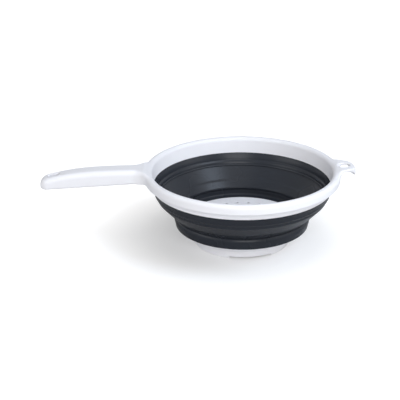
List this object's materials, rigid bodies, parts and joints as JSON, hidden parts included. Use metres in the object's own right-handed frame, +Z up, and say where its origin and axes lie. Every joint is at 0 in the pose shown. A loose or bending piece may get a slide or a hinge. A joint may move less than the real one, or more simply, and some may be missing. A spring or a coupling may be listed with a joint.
{
  "type": "collapsible colander",
  "caption": "Collapsible kitchen colander with a white rim, long handle and hook ear, a dark soft bellows wall that folds flat, and a white perforated base.",
  "frame": {"origin": "on the table under the middle of the whole length and width, at the height of the foot ring's pads", "axes": "+X from the handle's end to the hook ear, +Z up through the open bowl, +Y to the left of someone looking from the handle's end to the ear"},
  "size_m": [0.357, 0.222, 0.0903],
  "materials": {
    "white_plastic": "smooth moulded polypropylene, soft shine",
    "dark_elastomer": "smooth satin thermoplastic elastomer, dark slate grey"
  },
  "bodies": {
    "base": {"strainer_base": "white_plastic", "bellows_lower_band": "dark_elastomer"},
    "rim": {"rim_frame": "white_plastic", "bellows_upper_band": "dark_elastomer"},
    "wall": {"bellows_cone": "dark_elastomer"}
  },
  "joints": [
    {"name": "collapse", "type": "slide", "parent": "base", "child": "rim", "axis": [0, 0, -1], "range_m": [0, 0.0436]},
    {"name": "wall_fold", "type": "slide", "parent": "base", "child": "wall", "axis": [0, 0, -1], "range_m": [0, 0.0218]}
  ],
  "couplings": [
    {"joint": "wall_fold", "follows": "collapse", "ratio": 0.5}
  ]
}
